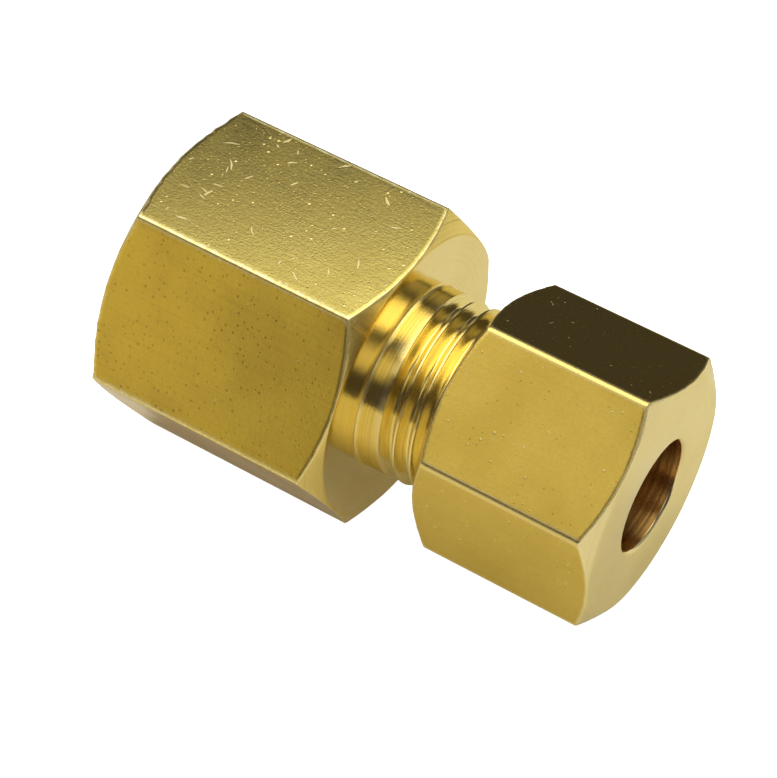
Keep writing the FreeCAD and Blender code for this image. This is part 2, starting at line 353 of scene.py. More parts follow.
def helical_thread_tree():
    """A grid rolled into a tube whose rows climb with the helix, cut by one groove for each pitch."""
    outputs = [("Geometry", "NodeSocketGeometry")]
    tree, given, result = new_tree("helical_thread", "GeometryNodeTree", THREAD_INPUTS, outputs)
    size = given.outputs
    do = partial(calc, tree)
    columns = do("ADD", size["Columns"], 1.0)
    rows = do("ADD", do("MULTIPLY", size["Rows per turn"], size["Turns"]), 1.0)
    grid = add(tree, "GeometryNodeMeshGrid", {0: 1.0, 1: 1.0, 2: columns, 3: rows})
    place = add(tree, "ShaderNodeSeparateXYZ", {0: add(tree, "GeometryNodeInputPosition").outputs[0]})
    across = do("ADD", place.outputs[0], 0.5)
    along = do("ADD", place.outputs[1], 0.5)

    angle = do("MULTIPLY_ADD", across, WHOLE_TURN, size["Start angle"])
    turn = do("DIVIDE", angle, WHOLE_TURN)
    start_turn = do("DIVIDE", size["Start angle"], WHOLE_TURN)
    reach = do("SUBTRACT", size["Low end"], size["Groove middle"])
    first_turn = do("SUBTRACT", do("DIVIDE", reach, size["Pitch"]), start_turn)
    whole = do("FLOOR", first_turn)
    climbed = do("MULTIPLY_ADD", along, size["Turns"], turn)
    pitches = do("ADD", do("SUBTRACT", whole, 1.0), climbed)
    free_x = do("MULTIPLY_ADD", pitches, size["Pitch"], size["Groove middle"])
    x = do("MINIMUM", do("MAXIMUM", free_x, size["Low end"]), size["High end"])

    from_middle = do("DIVIDE", do("SUBTRACT", x, size["Groove middle"]), size["Pitch"])
    phase = do("SUBTRACT", from_middle, turn)
    nearest = do("ROUND", phase)
    from_groove = do("MULTIPLY", do("SUBTRACT", phase, nearest), size["Pitch"])
    offset = do("ABSOLUTE", from_groove)
    flank = do("SUBTRACT", size["Half width at crest"], size["Half width at floor"])
    share = do("DIVIDE", do("SUBTRACT", size["Half width at crest"], offset), flank)
    floor_round = do("SMOOTH_MIN", share, 1.0, ROOT_ROUND)
    shape = do("SMOOTH_MAX", floor_round, 0.0, CREST_ROUND)

    groove = do("SUBTRACT", x, from_groove)
    fade = smooth(tree, groove, size["No groove at"], size["Full groove at"])
    depth = do("MULTIPLY", do("MULTIPLY", shape, fade), size["Groove depth"])
    narrowing = do("MULTIPLY", do("SUBTRACT", x, size["Low end"]), size["Taper"])
    crest = do("SUBTRACT", size["Crest radius"], narrowing)
    cut = do("SUBTRACT", crest, do("MULTIPLY", depth, size["Side"]))
    from_mouth = do("ABSOLUTE", do("SUBTRACT", x, size["Mouth at"]))
    limit = do("MULTIPLY_ADD", size["Mouth radius"], size["Side"], from_mouth)
    inner_one = do("MINIMUM", do("MULTIPLY", cut, size["Side"]), limit)
    radius = do("MULTIPLY", inner_one, size["Side"])

    y = do("MULTIPLY", radius, do("COSINE", angle))
    z = do("MULTIPLY", radius, do("SINE", angle))
    wound_place = add(tree, "ShaderNodeCombineXYZ", {0: x, 1: y, 2: z}).outputs[0]
    moved = {0: grid.outputs[0], "Position": wound_place}
    wound = add(tree, "GeometryNodeSetPosition", moved).outputs[0]
    real = add(tree, "GeometryNodeRealizeInstances", {0: wound}).outputs[0]
    painted = add(tree, "GeometryNodeSetMaterial", {"Geometry": real, "Material": size["Material"]})
    tree.links.new(painted.outputs[0], result.inputs[0])
    return tree


thread_tree = shown(helical_thread_tree())


# %% A thread as a plain mesh
SPARE_TURNS = 2


def thread_mesh(name, material, sizes):
    """The tree's result for one thread, as a mesh of its own."""
    carrier = placed(name, bpy.data.meshes.new(name))
    modifier = carrier.modifiers.new("thread", "NODES")
    modifier.node_group = thread_tree
    span = sizes["High end"] - sizes["Low end"]
    wanted = {**sizes, "Material": material, "Turns": math.ceil(span / sizes["Pitch"]) + SPARE_TURNS}
    for item in thread_tree.interface.items_tree:
        if item.in_out == "INPUT" and item.name in wanted:
            modifier[item.identifier] = wanted[item.name]
    graph = bpy.context.evaluated_depsgraph_get()
    mesh = bpy.data.meshes.new_from_object(carrier.evaluated_get(graph))
    bpy.data.objects.remove(carrier)
    print(f"{name}: {len(mesh.polygons)} faces")
    return mesh


print("named inputs of a thread:", [row[0] for row in THREAD_INPUTS])

# %% [markdown]
# ## Closing a piece
#
# Skin and threads are joined into one closed shell. Points that meet are merged first, and only then
# are the normals recalculated, so that they all face out. Edges sharper than the limit stay crisp, and
# the wide flats rule the shading of the narrow rounded edges beside them.

# %% Join, merge and shade
MERGE = 0.002 * MM
SHARP = math.radians(38)
FLAT_WEIGHT = 80


def closed_piece(name, skin_mesh, threads, materials):
    """One closed mesh object from the skin and its threads, with its normals facing out."""
    shell = bmesh.new()
    shell.from_mesh(skin_mesh)
    for mesh, finish in threads:
        known = len(shell.faces)
        shell.from_mesh(mesh)
        shell.faces.ensure_lookup_table()
        for face in shell.faces[known:]:
            face.material_index = finish
    bmesh.ops.remove_doubles(shell, verts=shell.verts, dist=MERGE)
    bmesh.ops.dissolve_degenerate(shell, edges=shell.edges, dist=MERGE / 4)
    bmesh.ops.recalc_face_normals(shell, faces=shell.faces)
    if shell.calc_volume(signed=True) < 0:
        bmesh.ops.reverse_faces(shell, faces=shell.faces)
    open_edges = sum(not edge.is_manifold for edge in shell.edges)
    volume = shell.calc_volume(signed=True)
    mesh = bpy.data.meshes.new(name)
    shell.to_mesh(mesh)
    shell.free()
    for material in materials:
        mesh.materials.append(material)
    mesh.shade_smooth()
    mesh.set_sharp_from_angle(angle=SHARP)
    rough = placed(name + "_rough", mesh)
    weights = rough.modifiers.new("weights", "WEIGHTED_NORMAL")
    weights.keep_sharp = True
    weights.weight = FLAT_WEIGHT
    graph = bpy.context.evaluated_depsgraph_get()
    final = bpy.data.meshes.new_from_object(rough.evaluated_get(graph))
    bpy.data.objects.remove(rough)
    final.name = name
    piece = placed(name, final)
    triangles = sum(len(face.vertices) - 2 for face in final.polygons)
    print(f"{name}: {triangles} triangles, {open_edges} open edges, {volume / MM**3:.1f} mm3")
    return piece


print(f"points within {MERGE / MM} mm merge, edges over {math.degrees(SHARP):.0f} degrees stay crisp")

# %% [markdown]
# ## Finish: shared groups
#
# Bright brass shows how it was made. Drawn flats carry fine lines along the bar, turned faces carry
# rings, and both get cloudy with tarnish. Each effect is a node group that puts out a mask, so that
# several materials can use it with their own values. All of them read Object coordinates, which stay
# with the piece when the nut turns.

# %% Helpers for the finish groups
PLACE = ("Vector", "NodeSocketVector", None)


def noise(tree, vector, scale, detail, roughness=0.5):
    """A Noise Texture's value and colour."""
    inputs = {"Vector": vector, "Scale": scale, "Detail": detail, "Roughness": roughness}
    return add(tree, "ShaderNodeTexNoise", inputs).outputs


def mask_tree(name, inputs, output="Mask"):
    """An empty finish group, for its tree, its inputs and the socket of its result."""
    tree, given, result = new_tree(name, "ShaderNodeTree", inputs, [(output, "NodeSocketFloat")])
    return tree, given.outputs, result.inputs[0]


print("every finish group reads", PLACE[0])


# %% Blotches
def blotches_group():
    """Soft cloudy mask, for tarnish and finger marks."""
    tree, given, result = mask_tree("blotches", [PLACE, *numbers(Per_metre=150.0, Low=0.35, High=0.7)])
    cloud = noise(tree, given["Vector"], given["Per metre"], 4.0)[0]
    tree.links.new(smooth(tree, cloud, given["Low"], given["High"]), result)
    return tree


blotches = shown(blotches_group())

# %% Drawn lines and turning rings
DRAWN_OUT = 0.015
ROUND_THE_AXIS = 1e-4
ON_AXIS = 1e-5


def lines_group():
    """Fine lines: noise that is stretched along the bar (drawn) or round the axis (turned)."""
    inputs = [PLACE, *numbers(Lines_per_metre=8000.0, Turned=1.0)]
    tree, given, result = mask_tree("machined_lines", inputs, "Height")
    x, y, z = add(tree, "ShaderNodeSeparateXYZ", {0: given["Vector"]}).outputs
    radius = calc(tree, "SQRT", calc(tree, "MULTIPLY_ADD", y, y, calc(tree, "MULTIPLY", z, z)))
    side = calc(tree, "DIVIDE", y, calc(tree, "ADD", radius, ON_AXIS))
    round_part = calc(tree, "MULTIPLY", side, ROUND_THE_AXIS)
    along_part = calc(tree, "MULTIPLY", x, DRAWN_OUT)
    rings = add(tree, "ShaderNodeCombineXYZ", {0: x, 1: radius, 2: round_part}).outputs[0]
    streaks = add(tree, "ShaderNodeCombineXYZ", {0: along_part, 1: y, 2: z}).outputs[0]
    choose = add(tree, "ShaderNodeMix", {0: given["Turned"], 4: streaks, 5: rings}, data_type="VECTOR")
    lines = noise(tree, choose.outputs[1], given["Lines per metre"], 3.0, 0.6)[0]
    tree.links.new(lines, result)
    return tree


machined_lines = shown(lines_group())


# %% Grain
GRAIN_LIMITS = (0.36, 0.64)


def grain_group():
    """Fine even grain, as on bar that was tumbled with other parts."""
    tree, given, result = mask_tree("grain", [PLACE, *numbers(Per_metre=5000.0)])
    grains = noise(tree, given["Vector"], given["Per metre"], 3.0, 0.7)[0]
    tree.links.new(stretch(tree, grains, *GRAIN_LIMITS), result)
    return tree


grain = shown(grain_group())

# %% [markdown]
# ## Finish: marks of use
#
# A box of loose fittings gives each one pits, nicks and scratches. Painting them by hand would take an
# image. Here a cell pattern strews them: each cell holds at most one mark, and its random numbers give
# the mark's size and heading. The offset from the cell's point is laid flat in the surface with the
# Normal, so that a round mark is round on every flat.


# %% Marks that lie in the surface
def vector_calc(tree, operation, *values, scale=None):
    """A Vector Math node, for its vector and its value."""
    inputs = dict(enumerate(values))
    if scale is not None:
        inputs[3] = scale
    return add(tree, "ShaderNodeVectorMath", inputs, operation=operation).outputs


def flat_on_surface(tree, vector, normal):
    """The part of a vector that lies in the surface."""
    height = vector_calc(tree, "DOT_PRODUCT", vector, normal)["Value"]
    upright = vector_calc(tree, "SCALE", normal, scale=height)[0]
    return vector_calc(tree, "SUBTRACT", vector, upright)[0]


def centred(tree, colour):
    """A random colour as a vector round zero."""
    return vector_calc(tree, "SUBTRACT", colour, (0.5, 0.5, 0.5))[0]


def marked_cells(tree, given, place):
    """A cell pattern: the offset from the cell's own point along the surface, a random number and a
    random direction in the surface for the cell, and whether the cell has a mark."""
    strewn = {"Vector": place, "Scale": given["Per metre"]}
    cells = add(tree, "ShaderNodeTexVoronoi", strewn, feature="F1")
    middle = cells.outputs["Position"]
    offset = vector_calc(tree, "SUBTRACT", place, middle)[0]
    along_surface = flat_on_surface(tree, offset, given["Normal"])
    draw = add(tree, "ShaderNodeSeparateColor", {0: cells.outputs["Color"]}).outputs
    any_way = centred(tree, add(tree, "ShaderNodeTexWhiteNoise", {"Vector": middle}).outputs["Color"])
    heading = vector_calc(tree, "NORMALIZE", flat_on_surface(tree, any_way, given["Normal"]))[0]
    chosen = calc(tree, "LESS_THAN", draw[0], given["Share"])
    return along_surface, draw[1], heading, chosen


MARK_INPUTS = [PLACE, ("Normal", "NodeSocketVector", None), *numbers(Per_metre=3000.0, Share=0.3)]
print("inputs of a mark:", [row[0] for row in MARK_INPUTS])

# %% Specks
SPECK_SIZES = (0.8, 0.4)
SPECK_CORE = 0.4


def specks_group():
    """Small round marks, one in some of the cells."""
    tree, given, result = mask_tree("specks", MARK_INPUTS + numbers(Size=0.05 * MM))
    offset, number, _, chosen = marked_cells(tree, given, given["Vector"])
    reach = calc(tree, "MULTIPLY", given["Size"], calc(tree, "MULTIPLY_ADD", number, *SPECK_SIZES))
    away = vector_calc(tree, "LENGTH", offset)["Value"]
    spot = smooth(tree, away, reach, calc(tree, "MULTIPLY", reach, SPECK_CORE))
    tree.links.new(calc(tree, "MULTIPLY", spot, chosen), result)
    return tree


specks = shown(specks_group())

# %% Scratches
SWAYS_PER_METRE = 900.0
SWAY = 0.6 * MM
SCRATCH_LENGTHS = (0.9, 0.3)


def scratches_group():
    """Short scratches, a little bent, each at its own angle in the surface and narrow at its ends."""
    half_sizes = numbers(Half_length=0.4 * MM, Half_width=0.02 * MM)
    tree, given, result = mask_tree("scratches", MARK_INPUTS + half_sizes)
    sway = centred(tree, noise(tree, given["Vector"], SWAYS_PER_METRE, 1.0)["Color"])
    bent = vector_calc(tree, "ADD", given["Vector"], vector_calc(tree, "SCALE", sway, scale=SWAY)[0])[0]
    offset, number, heading, chosen = marked_cells(tree, given, bent)
    along = vector_calc(tree, "DOT_PRODUCT", offset, heading)["Value"]
    on_line = vector_calc(tree, "SCALE", heading, scale=along)[0]
    away = vector_calc(tree, "DISTANCE", offset, on_line)["Value"]
    own_length = calc(tree, "MULTIPLY_ADD", number, *SCRATCH_LENGTHS)
    length = calc(tree, "MULTIPLY", given["Half length"], own_length)
    reached = calc(tree, "DIVIDE", calc(tree, "ABSOLUTE", along), length)
    narrowing = calc(tree, "SUBTRACT", 1.0, calc(tree, "MULTIPLY", reached, reached))
    width = calc(tree, "MULTIPLY", given["Half width"], narrowing)
    tree.links.new(calc(tree, "MULTIPLY", chosen, calc(tree, "LESS_THAN", away, width)), result)
    return tree


scratches = shown(scratches_group())

# %% Edge wear
WEAR_SOFTNESS = 0.12


def edge_wear_group():
    """Broken patches along the edges, where the bright metal shows."""
    wear_inputs = [PLACE, *numbers(Edge=0.0, Per_metre=3500.0, Low=0.42)]
    tree, given, result = mask_tree("edge_wear", wear_inputs)
    patches = noise(tree, given["Vector"], given["Per metre"], 2.0)[0]
    patchy = calc(tree, "MULTIPLY_ADD", given["Edge"], 0.5, calc(tree, "SUBTRACT", patches, 0.5))
    high = calc(tree, "ADD", given["Low"], WEAR_SOFTNESS)
    tree.links.new(smooth(tree, patchy, given["Low"], high), result)
    return tree


edge_wear = shown(edge_wear_group())

# %% [markdown]
# ## Brass
#
# Brass is a metal, so it has no colour of its own apart from what it reflects. One recipe makes every
# finish: a base tint, a darker tint where the surface is tarnished, and how strongly lines, specks and
# scratches mark it. Rounded edges are also blended towards a pale colour, which is a painted highlight.
# What is the same all over sits on the shader, and only what varies is linked.

# %% One colour over another
def use(tree, group, inputs):
    """A group placed in a material, with its own values."""
    return add(tree, "ShaderNodeGroup", inputs, node_tree=group).outputs[0]


def blend(tree, factor, first, second):
    """One colour laid over another by a mask."""
    inputs = {0: factor}
    for key, colour in ((6, first), (7, second)):
        inputs[key] = colour if isinstance(colour, bpy.types.NodeSocket) else (*colour, 1.0)
    return add(tree, "ShaderNodeMix", inputs, data_type="RGBA").outputs[2]


# Bright colour of nicks, chips and scratches. It is also the colour of the painted highlight on rounded
# edges.
NICK_AND_HIGHLIGHT = (0.98, 0.85, 0.38)
GRIME = (0.22, 0.13, 0.03)
GRAZING = (0.97, 0.93, 0.7)
print("colours of nicks, grime and grazing light:", NICK_AND_HIGHLIGHT, GRIME, GRAZING)

# %% What a finish needs to say
class Surface(NamedTuple):
    """Clouds per metre and their tarnish; roughness, and what clouds and marks add to it; edge wear;
    grains per metre, their tarnish and their height."""
    cloud: float
    stain: float
    rough: float
    varies: float
    marks: float
    wear: float = 0.0
    grain: float = 5000.0
    grain_stain: float = 0.12
    grain_depth: float = 1e-6


class Lines(NamedTuple):
    """Lines per metre, their height and their dark streaks. A spread makes them turned, not drawn."""
    per_metre: float
    depth: float
    streaks: float
    spread: float = 0.0


class Specks(NamedTuple):
    """Dark pits: cells per metre, the share with a pit, its size, strength and depth, and how far the
    pits gather in the cloudy parts."""
    per_metre: float = 1500.0
    share: float = 0.06
    size: float = 4e-5
    strength: float = 0.3
    depth: float = 1e-6
    gathered: float = 0.0


class Scratches(NamedTuple):
    """Bright scratches: cells per metre, the share with a scratch, half its length and width, its
    strength and ridge, and the share of cells with a chip."""
    per_metre: float = 800.0
    share: float = 0.04
    length: float = 2e-4
    width: float = 2e-5
    strength: float = 0.4
    ridge: float = 2e-6
    chips: float = 0.0


print("a surface is told by", Surface._fields)

# %% One recipe for every brass finish
CHIPS_PER_METRE = 1900.0
CHIP_SIZE = 0.08 * MM
STREAK_LIMITS = (0.52, 0.68)
EDGE_LIMITS = (0.55, 0.95)
EDGE_ROUGHER = 0.15
# How far rounded edges are blended towards the bright colour, as a painted highlight.
PAINTED_EDGE_HIGHLIGHT = 0.35
QUARTER_TURN = 0.25


def brass(name, tint, stain, surface, lines, speck, scratch):
    """A brass material. tint and stain are its clean and tarnished colours, and the rest are the
    Surface, Lines, Specks and Scratches of the finish."""
    material = bpy.data.materials.new(name)
    tree = empty_nodes(material)
    coordinates = add(tree, "ShaderNodeTexCoord").outputs
    place = {"Vector": coordinates["Object"]}
    marks = {**place, "Normal": coordinates["Normal"]}
    edge = add(tree, "ShaderNodeAttribute", attribute_name="edge").outputs["Fac"]
    cloudy = use(tree, blotches, {**place, "Per metre": surface.cloud})
    line_kind = {"Lines per metre": lines.per_metre, "Turned": float(lines.spread > 0)}
    line = use(tree, machined_lines, {**place, **line_kind})
    grainy = use(tree, grain, {**place, "Per metre": surface.grain})
    speck_sizes = {"Per metre": speck.per_metre, "Share": speck.share, "Size": speck.size}
    dark = use(tree, specks, {**marks, **speck_sizes})
    chip_sizes = {"Per metre": CHIPS_PER_METRE, "Share": scratch.chips, "Size": CHIP_SIZE}
    chip = use(tree, specks, {**marks, **chip_sizes})
    scratch_sizes = {
        "Per metre": scratch.per_metre, "Share": scratch.share,
        "Half length": scratch.length, "Half width": scratch.width,
    }
    bright = calc(tree, "MAXIMUM", chip, use(tree, scratches, {**marks, **scratch_sizes}))
    worn = use(tree, edge_wear, {**place, "Edge": edge})
    streak = stretch(tree, line, *STREAK_LIMITS, lines.streaks)
    rounded = stretch(tree, edge, *EDGE_LIMITS)
    gathered = calc(tree, "MULTIPLY_ADD", cloudy, speck.gathered, 1.0 - speck.gathered)
    pitted = calc(tree, "MULTIPLY", dark, gathered)

    colour = blend(tree, calc(tree, "MULTIPLY", cloudy, surface.stain), tint, stain)
    colour = blend(tree, calc(tree, "MULTIPLY", grainy, surface.grain_stain), colour, stain)
    colour = blend(tree, streak, colour, GRIME)
    colour = blend(tree, calc(tree, "MULTIPLY", pitted, speck.strength), colour, GRIME)
    # Scratches, chips and worn patches are real wear. Rounded edges are paled here as a painted
    # highlight, so that they look cream where they shine.
    for mask, strength in ((bright, scratch.strength), (rounded, PAINTED_EDGE_HIGHLIGHT), (worn, surface.wear)):
        colour = blend(tree, calc(tree, "MULTIPLY", mask, strength), colour, NICK_AND_HIGHLIGHT)
    rough = calc(tree, "MULTIPLY_ADD", cloudy, surface.varies, surface.rough)
    rough = calc(tree, "MULTIPLY_ADD", calc(tree, "MAXIMUM", pitted, bright), surface.marks, rough)
    rough = calc(tree, "MULTIPLY_ADD", rounded, EDGE_ROUGHER, rough)
    height = calc(tree, "MULTIPLY", line, lines.depth)
    height = calc(tree, "MULTIPLY_ADD", grainy, surface.grain_depth, height)
    height = calc(tree, "MULTIPLY_ADD", pitted, -speck.depth, height)
    height = calc(tree, "MULTIPLY_ADD", bright, scratch.ridge, height)
    bump = add(tree, "ShaderNodeBump", {"Strength": 1.0, "Distance": 1.0, "Height": height})
    looks = {
        "Base Color": colour, "Metallic": 1.0, "Roughness": rough,
        "Specular Tint": (*GRAZING, 1.0), "Normal": bump.outputs[0],
    }
    if lines.spread > 0:
        looks["Tangent"] = add(tree, "ShaderNodeTangent", direction_type="RADIAL", axis="X").outputs[0]
        looks["Anisotropic"] = lines.spread
        looks["Anisotropic Rotation"] = QUARTER_TURN
    shader = add(tree, "ShaderNodeBsdfPrincipled", looks)
    add(tree, "ShaderNodeOutputMaterial", {0: shader.outputs[0]})
    print(f"{name}: {len(tree.nodes)} nodes")
    return material


# %% The finishes of this fitting
# More scratches and chips, which are real wear. The tint, paler and less saturated than the drawn
# flats', is a painted sheen.
scuffed_and_sheen = brass(
    "brass_scuffed_and_sheen_flat", (0.8, 0.64, 0.17), (0.5, 0.38, 0.08),
    Surface(cloud=420.0, stain=0.38, rough=0.11, varies=0.04, marks=0.2, wear=0.9,
            grain=6000.0, grain_stain=0.42, grain_depth=0.8e-6),
    Lines(per_metre=9000.0, depth=1e-6, streaks=0.0),
    Specks(per_metre=2800.0, share=0.35, size=6e-5, strength=0.6, depth=4e-6, gathered=0.5),
    Scratches(share=0.3, length=4.2e-4, width=5e-5, strength=0.85, ridge=1e-5, chips=0.12),
)
drawn = brass(
    "brass_drawn_flat", (0.8, 0.53, 0.06), (0.6, 0.38, 0.05),
    Surface(cloud=240.0, stain=0.5, rough=0.16, varies=0.05, marks=0.1, wear=0.35, grain=3200.0),
    Lines(per_metre=5200.0, depth=1.2e-6, streaks=0.09),
    Specks(per_metre=1700.0, share=0.75, size=9e-5, strength=0.55, depth=3e-6, gathered=0.45),
    Scratches(per_metre=500.0, share=0.08, length=3e-4, width=2.5e-5, ridge=3e-6),
)
nut_flat = brass(
    "brass_nut_flat", (0.8, 0.56, 0.1), (0.66, 0.44, 0.06),
    Surface(cloud=240.0, stain=0.5, rough=0.13, varies=0.04, marks=0.35,
            grain=5200.0, grain_stain=0.3, grain_depth=1.5e-6),
    Lines(per_metre=7000.0, depth=0.7e-6, streaks=0.05),
    Specks(per_metre=1800.0, share=0.35, size=5e-5, strength=0.45, gathered=0.4),
    Scratches(per_metre=1100.0, share=0.08, length=1.6e-4, width=3e-5, strength=0.8, ridge=5e-6,
              chips=0.03),
)
turned = brass(
    "brass_turned", (0.9, 0.68, 0.18), (0.76, 0.54, 0.12),
    Surface(cloud=260.0, stain=0.3, rough=0.19, varies=0.05, marks=0.06, wear=0.3, grain_stain=0.1),
    Lines(per_metre=9000.0, depth=3e-6, streaks=0.35, spread=0.8),
    Specks(),
    Scratches(),
)
# The end faces and nut chamfers are turned brass. Their paler tint is partly a painted reflection of the
# bright floor.
end_face = brass(
    "brass_end_face", (0.9, 0.74, 0.33), (0.78, 0.6, 0.2),
    Surface(cloud=260.0, stain=0.35, rough=0.13, varies=0.05, marks=0.06, wear=0.3),
    Lines(per_metre=7000.0, depth=1e-6, streaks=0.06, spread=0.4),
    Specks(per_metre=1600.0, share=0.15, size=5e-5, strength=0.5, gathered=0.8),
    Scratches(),
)
threaded = brass(
    "brass_thread", (0.92, 0.74, 0.26), (0.78, 0.58, 0.16),
    Surface(cloud=300.0, stain=0.3, rough=0.17, varies=0.05, marks=0.05),
    Lines(per_metre=12000.0, depth=2e-6, streaks=0.3, spread=0.7),
    Specks(),
    Scratches(share=0.03, strength=0.3, ridge=1e-6),
)
bored = brass(
    "brass_bore", (0.66, 0.4, 0.12), (0.54, 0.3, 0.08),
    Surface(cloud=300.0, stain=0.5, rough=0.26, varies=0.06, marks=0.05, grain_stain=0.2),
    Lines(per_metre=3500.0, depth=2.4e-5, streaks=0.35, spread=0.7),
    Specks(share=0.1),
    Scratches(share=0.05, strength=0.3, ridge=1e-6),
)
FINISHES = [turned, scuffed_and_sheen, drawn, nut_flat, threaded, bored, end_face]
TURNED, SCUFFED_AND_SHEEN, DRAWN, NUT_FLAT, THREADED, BORED, FACE = range(len(FINISHES))
print("materials:", [material.name for material in FINISHES])

# %% [markdown]
# ## Connector body
#
# The body's big hexagon keeps the bar's drawn flats. A lathe cuts both chamfers, the end faces, the neck
# with its thread, the conical seat for the ferrule, the socket where the tube stops, the water way and
# the pipe port. The profile runs once round the whole section, so the piece is a single closed shell.

# %% Connector body: the hexagon
SCUFFED_AND_SHEEN_SIDES = (0, 1, 4)


def body_finish(row, column):
    """Drawn flats keep the bar's own skin. Those that lay uppermost in the box are more scratched, and
    their paler tint is a painted sheen.
    """
    if row in FACE_ROWS:
        return FACE
    if row not in FLAT_ROWS:
        return TURNED
    return SCUFFED_AND_SHEEN if column // SIDE in SCUFFED_AND_SHEEN_SIDES else DRAWN


body_hex = chamfered_rings(BODY_HEX, (body_angles, body_radii), (PORT_FACE, HEX_FACE), body_finish)
print("hexagon rings:", len(body_hex))

# %% Connector body: its turned sizes
SEAM = 0.35 * MM
THREAD_RADIUS = 5.556 * MM
ROOT_RADIUS = 4.906 * MM
FOOT_RING = 0.4 * MM
FOOT_EDGE = 0.14 * MM
FOOT_EDGE_ROWS = (4, 7)
BORE_EDGE = 0.04 * MM
PORT_MOUTH = 7.1 * MM
PORT_FACE_RING = 7.7 * MM
COLLAR_FACE_RING = 7.4 * MM
PORT_CREST = 5.75 * MM
PORT_DRILL = 5.45 * MM
PORT_DEPTH = 12.2 * MM
PORT_TAPER = math.tan(math.radians(1.79))
PORT_THREAD_END = PORT_FACE + (PORT_CREST - PORT_DRILL) / PORT_TAPER
DRILL_POINT = math.radians(59)
SOCKET = 3.2 * MM
SEAT_MOUTH = 4.25 * MM
WATER_WAY = 2.4 * MM
drill_run = (PORT_DRILL - WATER_WAY) / math.tan(DRILL_POINT)
seat_run = (SEAT_MOUTH - SOCKET) / math.tan(THIRTY)
print(f"drill point {drill_run / MM:.2f} mm long, seat {seat_run / MM:.2f} mm, port thread "
      f"{(PORT_THREAD_END - PORT_FACE) / MM:.2f} mm")

# %% Connector body: the turned surfaces
even_body = even_angles(0.0)
port_face = turned_rings(even_body, [(PORT_FACE, PORT_MOUTH), (PORT_FACE, PORT_FACE_RING)], FACE)
foot_profile = [
    (HEX_FACE, COLLAR_FACE_RING),
    (HEX_FACE, THREAD_RADIUS + FOOT_RING),
    (HEX_FACE, THREAD_RADIUS),
    (HEX_FACE + SEAM, THREAD_RADIUS),
]
collar_foot = turned_rings(even_body, foot_profile, TURNED, edge=FOOT_EDGE)
for *_, painted, _ in collar_foot[:FOOT_EDGE_ROWS[0]]:
    painted[:] = [FACE] * COLUMNS
# The collar's foot is marked as edge, so it takes wear and the painted edge highlight.
for *_, worn in collar_foot[slice(*FOOT_EDGE_ROWS)]:
    worn[:] = 1.0
inside_profile = [
    (NECK_END, ROOT_RADIUS),
    (NECK_END, SEAT_MOUTH),
    (NECK_END - seat_run, SOCKET),
    (0.0, SOCKET),
    (0.0, WATER_WAY),
    (PORT_FACE + PORT_DEPTH + drill_run, WATER_WAY),
    (PORT_FACE + PORT_DEPTH, PORT_DRILL),
    (PORT_THREAD_END, PORT_DRILL),
]
inside = turned_rings(even_body, inside_profile, BORED, edge=BORE_EDGE)
body_skin = skin("connector_skin", [port_face + body_hex + collar_foot, inside])

# %% Connector body: its two threads and the finished piece
FIRST_GROOVE = HEX_FACE + 1.489 * MM
neck_sizes = {
    "Rows per turn": 20,
    "Pitch": PITCH,
    "Groove middle": FIRST_GROOVE,
    "Low end": HEX_FACE + SEAM,
    "High end": NECK_END,
    "Crest radius": THREAD_RADIUS,
    "Groove depth": THREAD_RADIUS - ROOT_RADIUS,
    "Half width at crest": 0.463 * MM,
    "Half width at floor": 0.088 * MM,
    "No groove at": HEX_FACE + 1.1 * MM,
    "Full groove at": HEX_FACE + 1.6 * MM,
    "Mouth at": NECK_END,
    "Mouth radius": ROOT_RADIUS,
}
port_sizes = {
    "Pitch": 1.4111 * MM,
    "Groove middle": PORT_FACE + 0.1 * MM,
    "Low end": PORT_FACE,
    "High end": PORT_THREAD_END,
    "Crest radius": PORT_CREST,
    "Groove depth": 1.05 * MM,
    "Half width at crest": 0.64 * MM,
    "Half width at floor": 0.034 * MM,
    "Taper": PORT_TAPER,
    "No groove at": PORT_THREAD_END - 0.9 * MM,
    "Full groove at": PORT_THREAD_END - 2.0 * MM,
    "Mouth at": PORT_FACE,
    "Mouth radius": PORT_MOUTH,
    "Side": -1.0,
}
neck_thread = thread_mesh("neck_thread", threaded, neck_sizes)
port_thread = thread_mesh("port_thread", bored, port_sizes)
connector = closed_piece(
    "connector_body_brass", body_skin, [(neck_thread, THREADED), (port_thread, BORED)], FINISHES
)

# %% [markdown]
# ## Compression nut
#
# The nut is cut from smaller bar with rounder corners, so its edges shine as wide soft bands, which a
# painted highlight on the rounded edges makes paler. Its thread matches the neck's, and behind it a cone
# pushes on the ferrule. The tube passes through the plain hole in the end.

# %% Compression nut: the skin
NUT_CREST = 4.982 * MM
NUT_MOUTH_RADIUS = 5.8 * MM
MOUTH_FACE_RING = 6.2 * MM
END_FACE_RING = 6.0 * MM
TUBE_HOLE = 3.373 * MM
NUT_WALL = 3.0 * MM
HOLE_BEVEL = 0.16 * MM
HOLE_EDGE = 0.05 * MM
shoulder = NUT_END - NUT_WALL
cone_start = shoulder - (NUT_CREST - TUBE_HOLE)


def nut_finish(row, column):
    """Flats keep the bar's skin, and the lathe leaves the end faces and chamfers alike."""
    return NUT_FLAT if row in FLAT_ROWS else FACE


